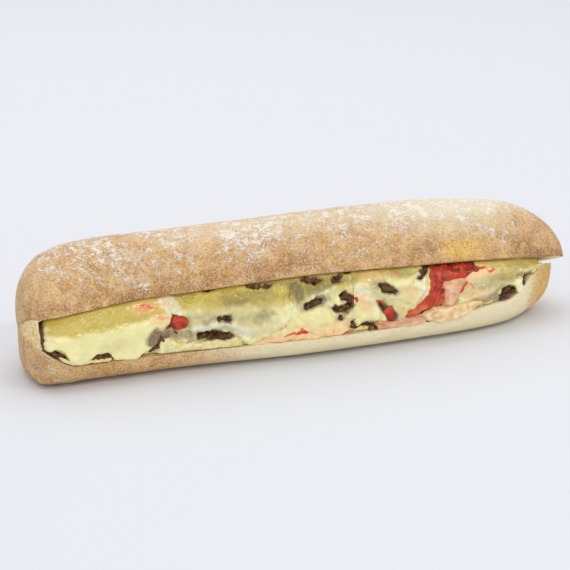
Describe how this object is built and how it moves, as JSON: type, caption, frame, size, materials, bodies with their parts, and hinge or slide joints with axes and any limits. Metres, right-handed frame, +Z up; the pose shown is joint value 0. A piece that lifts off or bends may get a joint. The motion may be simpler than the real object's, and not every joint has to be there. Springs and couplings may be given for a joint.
{
  "type": "submarine sandwich",
  "caption": "Long submarine sandwich: a floury roll cut open along the front, filled with minced beef, melted cheese, tomato sauce and onion.",
  "frame": {"origin": "centre of the bounding box at the flat underside", "axes": "+X along the loaf, -Y the open front that shows the filling, +Z up"},
  "size_m": [0.305, 0.0821, 0.0675],
  "materials": {
    "crust": "matte baked crust with flour",
    "yellow": "soft, slightly moist",
    "beef": "browned, moist and glossy",
    "cheese": "melted, smooth with a soft sheen",
    "sauce": "wet and glossy",
    "onion": "soft cooked, translucent, moist"
  },
  "bodies": {
    "root": {"bread": "crust", "yellow_layer": "yellow", "beef": "beef", "cheese_first": "cheese", "cheese_second": "cheese", "cheese_third": "cheese", "cheese_fourth": "cheese", "cheese_fifth": "cheese", "tomato_sauce": "sauce", "tomato_piece_left": "sauce", "tomato_piece_right": "sauce", "onion_strip_tall": "onion", "onion_strip_flat": "onion", "onion_strip_low": "onion"}
  },
  "joints": []
}
